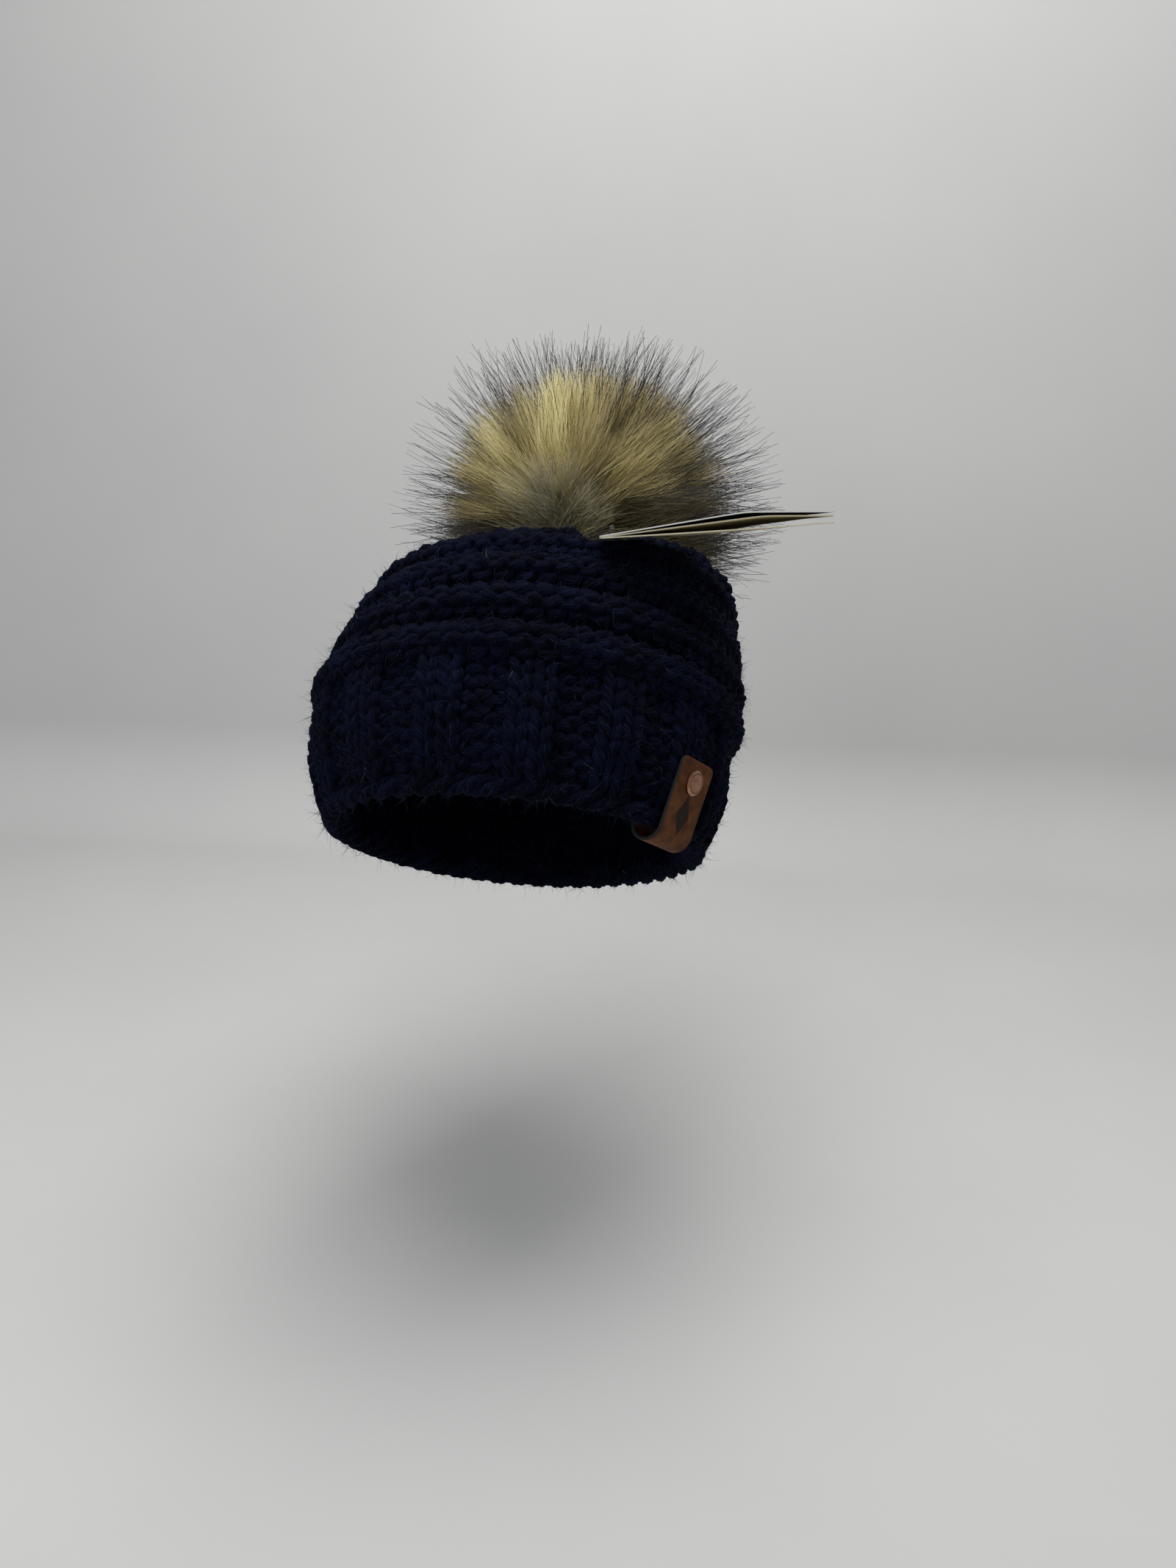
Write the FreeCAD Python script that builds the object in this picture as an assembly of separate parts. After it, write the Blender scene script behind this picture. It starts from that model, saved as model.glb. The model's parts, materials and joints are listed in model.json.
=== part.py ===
import FreeCAD, Part
import math
import os

# Pom pom beanie, worn tilted back.  Millimetres.
# Row frame: origin at the centre of the rim's plane, +Z up, the wearer faces -Y, +X is the wearer's left.
# The hat is built upright, with its own axis along +Z and its rim at z = 0, and is leaned back at the end.

LEAN_BACK = 32.0            # degrees between the hat's axis and the vertical

# Knitted shell
CROWN_RADIUS = 99.5         # half width over the widest roll
DEPTH_RATIO = 1.09          # front to back size over side to side size
CROWN_HEIGHT = 133.0        # rim to the top of the crown, along the hat's axis
CROWN_SQUARENESS = 4.1      # exponent of the crown's superellipse
CROWN_SHIFT_X = 0.22        # sideways lean of the crown over the band, per unit of height
CROWN_SHIFT_Y = 0.15        # backward lean of the crown over the band, per unit of height
BAND_TOP = 50.0
BAND_MID_RADIUS = 92.0
EDGE_HEIGHT = 7.0
EDGE_INNER_RADIUS = 76.5
EDGE_OUTER_RADIUS = 85.0
WELT_COUNT = 7
WELT_PITCH = 19.0           # along the crown's curve
VALLEY_DEPTH = 5.5
WALL = 12.0                 # crown surface to lining side
GATHER_YARN_RADIUS = 1.5
GATHER_RING = 13.0

# Pom and its tie
BUTTON_RADIUS = 9.0
BUTTON_THICK = 2.5
TIE_RADIUS = 1.5
TIE_KNOT_RADIUS = 3.2
PIVOT_LIFT = 4.5            # the pom's knot above the top of the crown
PIVOT_KNOT_RADIUS = 3.5
PIVOT_GAP = 0.5
POM_RADIUS = 72.0
POM_LIFT = 33.0             # the pom's centre above its knot
POM_RELIEF = 13.0           # degrees that the pom's underside rises from its knot
POM_BACKING_RADIUS = 26.0
POM_BACKING_THICK = 1.2
POM_THREAD_RING = 7.0
POM_THREAD_RADIUS = 1.0

# Leather tag and rivet
TAG_ANGLE = -30.0           # degrees from +X around the hat's axis, towards the front when negative
TAG_WIDTH = 24.0
TAG_THICK = 1.6
TAG_FOLD_RADIUS = 5.9
TAG_FOLD_CENTRE = 79.6
TAG_FOLD_HEIGHT = 1.0
TAG_SLOPE = 18.0            # degrees that the legs lean out from the hat's axis
TAG_OUTER_LEG = 30.3
TAG_INNER_LEG = 25.8
TAG_CORNER = 3.0
RIVET_FROM_FOLD = 21.3      # along the leg
RIVET_CAP_RADIUS = 5.3
RIVET_CAP_THICK = 1.5
RIVET_CAP_BEVEL = 0.7
RIVET_POST_RADIUS = 1.6

# Hang tag: three cards on one plastic fastener
CARD_LENGTH = 92.0
CARD_WIDTH = 42.0
CARD_THICK = 0.6
CARD_HOLE_RADIUS = 2.0
CARD_HOLE_INSET = 5.0
CARD_HEADING = 8.0          # degrees that the long side turns from +X towards +Y
CARD_TILT = 4.2             # degrees that the cards fall towards the back
CARD_RISE = {"card_bottom": 3.0, "card_middle": 6.8, "card_top": 8.6}     # degrees, from the fastener's end
CARD_CREASE = {"card_middle": 67.0, "card_top": 61.0}    # where a card bends back to level
CARD_STACK = {"card_bottom": 0.0, "card_middle": 1.0, "card_top": 2.0}
FASTENER_POINT = (43.5, -2.0, 140.0)
FASTENER_RADIUS = 0.5
FASTENER_BAR_RADIUS = 0.8
FASTENER_BAR = 8.0
FASTENER_ABOVE = 6.6
FASTENER_BELOW = 20.5

V = FreeCAD.Vector
Z_AXIS = V(0, 0, 1)
ORIGIN = V(0, 0, 0)
lean = FreeCAD.Placement(ORIGIN, FreeCAD.Rotation(V(1, 0, 0), -LEAN_BACK))


def crown_matrix():
    """Oval section, and the crown's lean over the top of the band."""
    m = FreeCAD.Matrix()
    m.A22 = DEPTH_RATIO
    m.A13 = CROWN_SHIFT_X
    m.A14 = -CROWN_SHIFT_X * BAND_TOP
    m.A23 = CROWN_SHIFT_Y
    m.A24 = -CROWN_SHIFT_Y * BAND_TOP
    return m


def band_matrix():
    m = FreeCAD.Matrix()
    m.A22 = DEPTH_RATIO
    return m


def crown_axis_point(height):
    """The middle of the crown's section at a height."""
    return V(CROWN_SHIFT_X * (height - BAND_TOP), CROWN_SHIFT_Y * (height - BAND_TOP), height)


def crown_curve(samples=4000):
    """Points (radius, height, distance) of the crown's superellipse, from the band's top to the axis."""
    start = math.asin((BAND_TOP / CROWN_HEIGHT) ** (CROWN_SQUARENESS / 2))
    power = 2 / CROWN_SQUARENESS
    curve = []
    travelled = 0.0
    for i in range(samples + 1):
        angle = start + (math.pi / 2 - start) * i / samples
        radius = CROWN_RADIUS * max(math.cos(angle), 0.0) ** power
        height = CROWN_HEIGHT * math.sin(angle) ** power
        if curve:
            travelled += math.hypot(radius - curve[-1][0], height - curve[-1][1])
        curve.append((radius, height, travelled))
    return curve


CURVE = crown_curve()


def on_crown(distance, depth):
    """The point (radius, 0, height) at a distance along the crown's curve, and a depth under it."""
    radius, height, _ = next(p for p in CURVE if p[2] >= distance)
    out = (radius / CROWN_RADIUS) ** (CROWN_SQUARENESS - 1) / CROWN_RADIUS
    up = (height / CROWN_HEIGHT) ** (CROWN_SQUARENESS - 1) / CROWN_HEIGHT
    size = math.hypot(out, up)
    return V(radius - depth * out / size, 0, height - depth * up / size)


def turned(edges):
    """A solid of revolution from the edges of a closed section."""
    return Part.Face(Part.Wire(edges)).revolve(ORIGIN, Z_AXIS, 360)


def line(a, b):
    return Part.LineSegment(a, b).toShape()


def arc(a, b, c):
    return Part.Arc(a, b, c).toShape()


def cast_on_edge():
    middle = (EDGE_INNER_RADIUS + EDGE_OUTER_RADIUS) / 2
    inner = V(EDGE_INNER_RADIUS, 0, EDGE_HEIGHT)
    outer = V(EDGE_OUTER_RADIUS, 0, EDGE_HEIGHT)
    ring = turned([arc(inner, V(middle, 0, 0), outer), line(outer, inner)])
    return ring.transformGeometry(band_matrix())


def rib_band():
    inner = V(EDGE_INNER_RADIUS, 0, EDGE_HEIGHT)
    outer = V(EDGE_OUTER_RADIUS, 0, EDGE_HEIGHT)
    top_outer = on_crown(0, VALLEY_DEPTH)
    top_inner = on_crown(0, WALL)
    top_outer.z = BAND_TOP
    top_inner.z = BAND_TOP
    middle = V(BAND_MID_RADIUS, 0, BAND_TOP / 2)
    lining = V(BAND_MID_RADIUS - 9.0, 0, BAND_TOP / 2)
    section = [line(inner, outer), arc(outer, middle, top_outer), line(top_outer, top_inner),
               arc(top_inner, lining, inner)]
    return turned(section).transformGeometry(band_matrix())


def seam(index):
    """The outer and inner ends of the joint under roll number index."""
    outer = on_crown(index * WELT_PITCH, VALLEY_DEPTH)
    inner = on_crown(index * WELT_PITCH, WALL)
    if index == 0:
        outer.z = BAND_TOP
        inner.z = BAND_TOP
    return outer, inner


def welt(index):
    """One roll of reverse stocking stitch around the crown."""
    low_outer, low_inner = seam(index)
    high_outer, high_inner = seam(index + 1)
    peak = on_crown((index + 0.5) * WELT_PITCH, 0)
    section = [arc(low_outer, peak, high_outer), line(high_outer, high_inner),
               line(high_inner, low_inner), line(low_inner, low_outer)]
    return turned(section).transformGeometry(crown_matrix())


GATHER_UNDERSIDE = seam(WELT_COUNT)[1].z
PIVOT = crown_axis_point(CROWN_HEIGHT) + V(0, 0, PIVOT_LIFT)
POM_CENTRE = PIVOT + V(0, 0, POM_LIFT)


def on_tie(height):
    """The point of the tie's line at a height."""
    return V(PIVOT.x, PIVOT.y, height)


def crown_gather():
    """The drawn-together last stitches, with the hole that the tie passes."""
    outer, inner = seam(WELT_COUNT)
    top = V(0, 0, outer.z)
    bottom = V(0, 0, inner.z)
    section = [line(outer, top), line(top, bottom), line(bottom, inner), line(inner, outer)]
    disc = turned(section).transformGeometry(crown_matrix())
    return disc.cut(Part.makeCylinder(TIE_RADIUS, 2 * WALL, on_tie(inner.z - WALL)))


def gather_yarn():
    centre = on_tie(GATHER_UNDERSIDE - GATHER_YARN_RADIUS)
    return Part.makeTorus(GATHER_RING, GATHER_YARN_RADIUS, centre, Z_AXIS)


def anchor_button():
    base = on_tie(GATHER_UNDERSIDE - BUTTON_THICK)
    disc = Part.makeCylinder(BUTTON_RADIUS, BUTTON_THICK, base)
    disc = disc.makeFillet(0.8, [e for e in disc.Edges if e.Curve.TypeId == "Part::GeomCircle"])
    return disc.cut(Part.makeCylinder(TIE_RADIUS, BUTTON_THICK, base))


def tie_cord():
    """The tie, from its knot under the button up through the gathered stitches."""
    knot_centre = on_tie(GATHER_UNDERSIDE - BUTTON_THICK - TIE_KNOT_RADIUS + 0.4)
    top = PIVOT.z - PIVOT_KNOT_RADIUS - PIVOT_GAP
    cord = Part.makeCylinder(TIE_RADIUS, top - knot_centre.z, knot_centre)
    knot = Part.makeSphere(TIE_KNOT_RADIUS, knot_centre)
    knot = knot.cut(Part.makeCylinder(BUTTON_RADIUS, BUTTON_THICK, on_tie(GATHER_UNDERSIDE - BUTTON_THICK)))
    return cord.fuse(knot).removeSplitter()


def tie_knot():
    return Part.makeSphere(PIVOT_KNOT_RADIUS, PIVOT)


def pom_stuffing():
    return Part.makeSphere(POM_BACKING_RADIUS - POM_BACKING_THICK, POM_CENTRE)


def pom_backing():
    return Part.makeSphere(POM_BACKING_RADIUS, POM_CENTRE).cut(pom_stuffing())


def pom_thread():
    lift = math.sqrt(POM_BACKING_RADIUS ** 2 - POM_THREAD_RING ** 2)
    centre = POM_CENTRE - V(0, 0, lift + POM_THREAD_RADIUS + 0.3)
    return Part.makeTorus(POM_THREAD_RING, POM_THREAD_RADIUS, centre, Z_AXIS)


def pom_fur():
    """The reach of the fur's dense body, hollow around the backing and relieved over the crown."""
    ball = Part.makeSphere(POM_RADIUS, POM_CENTRE)
    reach = 1.2 * POM_RADIUS
    rise = reach * math.tan(math.radians(POM_RELIEF))
    low = PIVOT - V(0, 0, 2 * POM_RADIUS)
    relief = turned([line(V(0, 0, 0), V(reach, 0, rise)),
                     line(V(reach, 0, rise), V(reach, 0, low.z - PIVOT.z)),
                     line(V(reach, 0, low.z - PIVOT.z), V(0, 0, low.z - PIVOT.z)),
                     line(V(0, 0, low.z - PIVOT.z), V(0, 0, 0))])
    relief.translate(PIVOT)
    socket = Part.makeSphere(PIVOT_KNOT_RADIUS + PIVOT_GAP, PIVOT)
    core = Part.makeSphere(POM_BACKING_RADIUS, POM_CENTRE)
    return ball.cut([relief, socket, core, pom_thread()])


def tag_frame():
    """Placement of the tag's own frame: x out of the band, y along the rim, z up."""
    angle = math.radians(TAG_ANGLE)
    place = V(TAG_FOLD_CENTRE * math.cos(angle), DEPTH_RATIO * TAG_FOLD_CENTRE * math.sin(angle), TAG_FOLD_HEIGHT)
    heading = math.degrees(math.atan2(math.sin(angle) / DEPTH_RATIO, math.cos(angle)))
    return FreeCAD.Placement(place, FreeCAD.Rotation(Z_AXIS, heading))


SLOPE = math.radians(TAG_SLOPE)
LEG_UP = V(math.sin(SLOPE), 0, math.cos(SLOPE))
LEG_OUT = V(math.cos(SLOPE), 0, -math.sin(SLOPE))


def tag_side(radius):
    """One side of the folded strip: outer leg top, its foot, the fold's bottom, inner foot, inner leg top."""
    outer_foot = LEG_OUT * radius
    inner_foot = LEG_OUT * -radius
    return [outer_foot + LEG_UP * TAG_OUTER_LEG, outer_foot, LEG_UP * -radius, inner_foot,
            inner_foot + LEG_UP * TAG_INNER_LEG]


def rivet_cylinder(radius, start, length):
    """A cylinder on the rivet's axis, from a distance out of the band's middle."""
    return Part.makeCylinder(radius, length, LEG_UP * RIVET_FROM_FOLD + LEG_OUT * start, LEG_OUT)


def leather_tag():
    near = tag_side(TAG_FOLD_RADIUS)
    far = tag_side(TAG_FOLD_RADIUS + TAG_THICK)
    section = [line(near[0], near[1]), arc(near[1], near[2], near[3]), line(near[3], near[4]),
               line(near[4], far[4]), line(far[4], far[3]), arc(far[3], far[2], far[1]),
               line(far[1], far[0]), line(far[0], near[0])]
    strip = Part.Face(Part.Wire(section)).extrude(V(0, TAG_WIDTH, 0))
    strip.translate(V(0, -TAG_WIDTH / 2, 0))
    corners = [e for e in strip.Edges if e.Length < 1.01 * TAG_THICK]
    strip = strip.makeFillet(TAG_CORNER, corners)
    reach = TAG_FOLD_RADIUS + TAG_THICK
    strip = strip.cut(rivet_cylinder(RIVET_POST_RADIUS, -reach, 2 * reach))
    strip.Placement = tag_frame()
    return strip


def rivet_cap(side):
    """A bevelled disc on the leather, outside (side = 1) or inside (side = -1) the band."""
    start = TAG_FOLD_RADIUS + TAG_THICK
    base = LEG_UP * RIVET_FROM_FOLD + LEG_OUT * (side * start)
    disc = Part.makeCylinder(RIVET_CAP_RADIUS, RIVET_CAP_THICK, base, LEG_OUT * side)
    top = base + LEG_OUT * (side * RIVET_CAP_THICK)
    rim = [e for e in disc.Edges if e.Curve.TypeId == "Part::GeomCircle"
           and (e.Curve.Center - top).Length < 0.01]
    disc = disc.makeChamfer(RIVET_CAP_BEVEL, rim)
    disc.Placement = tag_frame()
    return disc


def rivet_post():
    reach = TAG_FOLD_RADIUS + TAG_THICK
    post = rivet_cylinder(RIVET_POST_RADIUS, -reach, 2 * reach)
    post.Placement = tag_frame()
    return post


def card_placement(name):
    """Placement of a card's own frame: x along it from its hole, y across it, z up through the stack."""
    turn = FreeCAD.Rotation(Z_AXIS, CARD_HEADING)
    turn = turn.multiply(FreeCAD.Rotation(V(0, 1, 0), -CARD_RISE[name]))
    turn = turn.multiply(FreeCAD.Rotation(V(1, 0, 0), -CARD_TILT))
    return FreeCAD.Placement(V(*FASTENER_POINT) + V(0, 0, CARD_STACK[name]), turn)


def card(name):
    """A plain card; the upper two bend back to level at a crease."""
    start = -CARD_HOLE_INSET
    end = CARD_LENGTH - CARD_HOLE_INSET
    points = [V(start, 0, 0), V(end, 0, 0)]
    if name in CARD_CREASE:
        bend = math.radians(CARD_RISE[name])
        crease = CARD_CREASE[name] - CARD_HOLE_INSET
        rest = end - crease
        points = [V(start, 0, 0), V(crease, 0, 0), V(crease + rest * math.cos(bend), 0, -rest * math.sin(bend))]
    lower = [line(a, b) for a, b in zip(points, points[1:])]
    tops = [p + V(0, 0, CARD_THICK) for p in points]
    upper = [line(b, a) for a, b in zip(tops, tops[1:])][::-1]
    ends = [line(points[-1], tops[-1]), line(tops[0], points[0])]
    sheet = Part.Face(Part.Wire(lower + [ends[0]] + upper + [ends[1]])).extrude(V(0, CARD_WIDTH, 0))
    sheet.translate(V(0, -CARD_WIDTH / 2, 0))
    sheet = sheet.cut(Part.makeCylinder(CARD_HOLE_RADIUS, 3 * CARD_THICK, V(0, 0, -CARD_THICK)))
    sheet.Placement = card_placement(name)
    return sheet


def tag_fastener():
    """A moulded T-bar inside the knit, its filament through the cards, and a second bar above them."""
    foot = V(*FASTENER_POINT) - V(0, 0, FASTENER_BELOW)
    head = V(*FASTENER_POINT) + V(0, 0, FASTENER_ABOVE)
    filament = Part.makeCylinder(FASTENER_RADIUS, head.z - foot.z, foot)
    lower = Part.makeCylinder(FASTENER_BAR_RADIUS, FASTENER_BAR, foot - V(FASTENER_BAR / 2, 0, 0), V(1, 0, 0))
    upper = Part.makeCylinder(FASTENER_BAR_RADIUS, FASTENER_BAR, head - V(0, FASTENER_BAR / 2, 0), V(0, 1, 0))
    return filament.fuse([lower, upper]).removeSplitter()


def fastener_hole():
    foot = V(*FASTENER_POINT) - V(0, 0, FASTENER_BELOW)
    return Part.makeCylinder(FASTENER_RADIUS, FASTENER_BELOW, foot)


def rivet_hole():
    hole = rivet_cylinder(RIVET_POST_RADIUS, -TAG_FOLD_RADIUS, 2 * TAG_FOLD_RADIUS)
    hole.Placement = tag_frame()
    return hole


def build():
    upright = {
        "cast_on_edge": cast_on_edge(),
        "rib_band": rib_band().cut(rivet_hole()),
        "crown_gather": crown_gather(),
        "gather_yarn": gather_yarn(),
        "anchor_button": anchor_button(),
        "tie_cord": tie_cord(),
        "tie_knot": tie_knot(),
        "pom_fur": pom_fur(),
        "pom_backing": pom_backing(),
        "pom_stuffing": pom_stuffing(),
        "pom_thread": pom_thread(),
        "leather_tag": leather_tag(),
        "rivet_cap": rivet_cap(1),
        "rivet_base": rivet_cap(-1),
        "rivet_post": rivet_post(),
    }
    for index in range(WELT_COUNT):
        upright[f"welt_{index + 1}"] = welt(index)
    nodes = {}
    for name, shape in upright.items():
        shape.Placement = lean.multiply(shape.Placement)
        nodes[name] = shape
    for name in nodes:
        if name.startswith("welt"):
            nodes[name] = nodes[name].cut(fastener_hole())
    for name in CARD_RISE:
        nodes[name] = card(name)
    nodes["tag_fastener"] = tag_fastener()
    return nodes


os.makedirs("parts", exist_ok=True)
for node, solid in build().items():
    solid.exportStep(f"parts/{node}.step")
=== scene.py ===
import json
import math

import bmesh
import bpy
import mathutils
import numpy as np
from mathutils import Matrix, Vector


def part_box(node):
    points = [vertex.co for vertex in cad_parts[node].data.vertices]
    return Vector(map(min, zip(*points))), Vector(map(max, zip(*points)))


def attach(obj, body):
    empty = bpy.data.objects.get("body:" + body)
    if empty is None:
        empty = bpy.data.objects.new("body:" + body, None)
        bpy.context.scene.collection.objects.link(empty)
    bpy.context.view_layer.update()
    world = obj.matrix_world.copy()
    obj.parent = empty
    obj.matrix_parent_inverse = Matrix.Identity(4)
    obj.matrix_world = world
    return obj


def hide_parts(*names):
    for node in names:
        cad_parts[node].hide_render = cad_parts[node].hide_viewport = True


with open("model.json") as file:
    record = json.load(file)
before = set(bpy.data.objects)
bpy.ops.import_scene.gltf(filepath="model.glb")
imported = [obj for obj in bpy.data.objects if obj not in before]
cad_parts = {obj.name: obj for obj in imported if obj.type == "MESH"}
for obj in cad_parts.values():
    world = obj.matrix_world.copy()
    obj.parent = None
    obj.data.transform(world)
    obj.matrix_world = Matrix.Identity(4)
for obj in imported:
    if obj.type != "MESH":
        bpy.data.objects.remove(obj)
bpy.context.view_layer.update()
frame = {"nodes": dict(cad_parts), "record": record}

MM = 0.001
TAU = 2 * math.pi

# ---------------------------------------------------------------------------
# The hat's shape, in millimetres, as the CAD model has it

JOINTS = {j["name"]: j for j in frame["record"]["behaviour"]["joints"]}
BACKWARD = np.array(JOINTS["pom_sway"]["axis"], float)          # the hat's own +Y
LEAN = math.atan2(-BACKWARD[2], BACKWARD[1])
PIVOT = np.array(JOINTS["pom_nod"]["pos_m"], float) / MM

CROWN_RADIUS = 99.5
DEPTH_RATIO = 1.09
CROWN_HEIGHT = 133.0
CROWN_SQUARENESS = 4.1
CROWN_SHIFT = np.array([0.22, 0.15])
BAND_TOP = 50.0
BAND_MID_RADIUS = 92.0
EDGE_HEIGHT = 7.0
EDGE_OUTER_RADIUS = 85.0
EDGE_MIDDLE_RADIUS = 80.75
WELT_COUNT = 7
WELT_PITCH = 19.0
VALLEY_DEPTH = 5.5

# The soft crown's slump, which the CAD model's plainer dome doesn't have
SHOULDER = 32.0             # strength of the rise at the left shoulder, about 14 mm at its highest
WAIST = 6.0                 # how far the left side draws in under it
RIGHT_BULGE = 9.0           # how far the wearer's right side swells
RIGHT_RAISE = 10.0          # strength of the rise there, about 4 mm at its highest

# The cards, which are thinner than the CAD model's and lie lower and closer together
CARD_LENGTH = 92.0
CARD_WIDTH = 42.0
CARD_THICK = 0.5
CARD_CORNER = 1.5
CARD_HOLE_INSET = 5.0
CARD_HEADING = math.radians(8.0)
CARD_TILT = math.radians(4.2)
CARD_PIN = np.array(JOINTS["card_swivel"]["pos_m"]) / MM
CARD_HOLD = CARD_PIN - np.array([0, 0, 3.0])        # settled into the knit
PRESS_GAP = 1.2             # from the lowest card to the knit that it presses down
PRESS_MARGIN = 4.0          # width of the dent's flat round the card
CARDS = {       # rise in degrees, crease from the held end, height in the stack, twist in degrees
    "card_bottom": (3.2, None, 0.0, 1.0),
    "card_middle": (7.4, 65.0, 0.6, 5.5),
    "card_top": (9.4, 58.0, 1.2, 6.0),
}


def leaned(points):
    """Points of the upright hat, in mm, as the hat leans back, in metres."""
    c, s = math.cos(LEAN), math.sin(LEAN)
    turn = np.array([[1, 0, 0], [0, c, s], [0, -s, c]])
    return (points @ turn.T) * MM


def oval(angle, radius, height, crown):
    """A point of the hat from its angle, section radius and height; the crown leans over the band."""
    x = radius * np.cos(angle)
    y = DEPTH_RATIO * radius * np.sin(angle)
    if crown:
        x = x + CROWN_SHIFT[0] * (height - BAND_TOP)
        y = y + CROWN_SHIFT[1] * (height - BAND_TOP)
        level = (height - BAND_TOP) / (CROWN_HEIGHT - BAND_TOP)
        left = np.clip(np.cos(angle + 0.25), 0, 1) ** 5
        shoulder = np.exp(-((level - 1.0) / 0.28) ** 2) * np.clip(radius / CROWN_RADIUS, 0, 1) ** 2
        x = x - WAIST * left * np.exp(-((level - 0.55) / 0.3) ** 2)
        right = np.clip(-np.cos(angle - 0.2), 0, 1) ** 2
        x = x - RIGHT_BULGE * right * np.exp(-((level - 0.9) / 0.3) ** 2)
        height = height + (SHOULDER * left + RIGHT_RAISE * right) * shoulder
    return np.stack(np.broadcast_arrays(x, y, height), -1)


def pressed(points):
    """Points of the knit in metres, pushed down where the lowest card lies on them."""
    place = points / MM - CARD_HOLD
    c, s = math.cos(CARD_HEADING), math.sin(CARD_HEADING)
    along = place[:, 0] * c + place[:, 1] * s
    across = place[:, 1] * c - place[:, 0] * s
    past_end = np.abs(along - CARD_LENGTH / 2 + CARD_HOLE_INSET) - CARD_LENGTH / 2
    outside = np.maximum(past_end, np.abs(across) - CARD_WIDTH / 2)
    lowest = along * math.tan(math.radians(CARDS["card_bottom"][0])) - across * math.sin(CARD_TILT)
    lowest = CARD_HOLD[2] + lowest - PRESS_GAP + np.maximum(outside - PRESS_MARGIN, 0)
    result = points.copy()
    result[:, 2] = np.minimum(points[:, 2], lowest * MM)
    return result


def crown_curve(samples=4000):
    """Radius, height and distance along the crown's superellipse."""
    start = math.asin((BAND_TOP / CROWN_HEIGHT) ** (CROWN_SQUARENESS / 2))
    angle = np.linspace(start, math.pi / 2, samples + 1)
    power = 2 / CROWN_SQUARENESS
    radius = CROWN_RADIUS * np.clip(np.cos(angle), 0, None) ** power
    height = CROWN_HEIGHT * np.sin(angle) ** power
    step = np.hypot(np.diff(radius), np.diff(height))
    return radius, height, np.concatenate([[0], np.cumsum(step)])


CURVE = crown_curve()


def on_crown(distance, depth):
    """Radius and height of a point at a distance along the crown's curve and a depth under it."""
    radius = np.interp(distance, CURVE[2], CURVE[0])
    height = np.interp(distance, CURVE[2], CURVE[1])
    out = (radius / CROWN_RADIUS) ** (CROWN_SQUARENESS - 1) / CROWN_RADIUS
    up = (height / CROWN_HEIGHT) ** (CROWN_SQUARENESS - 1) / CROWN_HEIGHT
    size = math.hypot(out, up)
    return np.array([radius - depth * out / size, height - depth * up / size])


def circle_through(a, b, c):
    """Centre and radius of the circle through three points of a section."""
    ax, ay = a
    bx, by = b
    cx, cy = c
    d = 2 * (ax * (by - cy) + bx * (cy - ay) + cx * (ay - by))
    ux = ((ax**2 + ay**2) * (by - cy) + (bx**2 + by**2) * (cy - ay) + (cx**2 + cy**2) * (ay - by)) / d
    uy = ((ax**2 + ay**2) * (cx - bx) + (bx**2 + by**2) * (ax - cx) + (cx**2 + cy**2) * (bx - ax)) / d
    centre = np.array([ux, uy])
    return centre, float(np.linalg.norm(centre - np.array(a)))


def band_outline():
    """Centre and radius of the band's bulging side, in its section."""
    top = on_crown(0, VALLEY_DEPTH)
    middle = (BAND_MID_RADIUS, BAND_TOP / 2)
    return circle_through((EDGE_OUTER_RADIUS, EDGE_HEIGHT), middle, (top[0], BAND_TOP))


BAND_CENTRE, BAND_CURVE = band_outline()


def band_radius(height):
    """Radius of the band's outer side at a height."""
    return BAND_CENTRE[0] + np.sqrt(BAND_CURVE**2 - (height - BAND_CENTRE[1]) ** 2)


# ---------------------------------------------------------------------------
# Meshes

def new_object(name, points, faces, uv=None, smooth=True):
    """An object from points in metres, arrays of faces, and one UV pair for each face corner."""
    corners = np.concatenate([f.ravel() for f in faces]).astype(np.int32)
    sizes = np.concatenate([np.full(len(f), f.shape[1]) for f in faces])
    starts = np.concatenate([[0], np.cumsum(sizes)[:-1]]).astype(np.int32)
    mesh = bpy.data.meshes.new(name)
    mesh.vertices.add(len(points))
    mesh.vertices.foreach_set("co", np.asarray(points, np.float32).ravel())
    mesh.loops.add(len(corners))
    mesh.loops.foreach_set("vertex_index", corners)
    mesh.polygons.add(len(sizes))
    mesh.polygons.foreach_set("loop_start", starts)
    mesh.polygons.foreach_set("use_smooth", np.full(len(sizes), smooth))
    mesh.update(calc_edges=True)
    if uv is not None:
        layer = mesh.uv_layers.new(name="OFBake")
        layer.data.foreach_set("uv", np.asarray(uv, np.float32).ravel())
    obj = bpy.data.objects.new(name, mesh)
    bpy.context.scene.collection.objects.link(obj)
    return obj


def finish_piece(piece, mat, body, slot, *nodes):
    """Gives a piece its material and body, and hides the CAD nodes that it stands for; the slot is not used.
    """
    piece.data.materials.append(mat)
    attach(piece, body)
    if nodes:
        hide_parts(*nodes)


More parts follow.
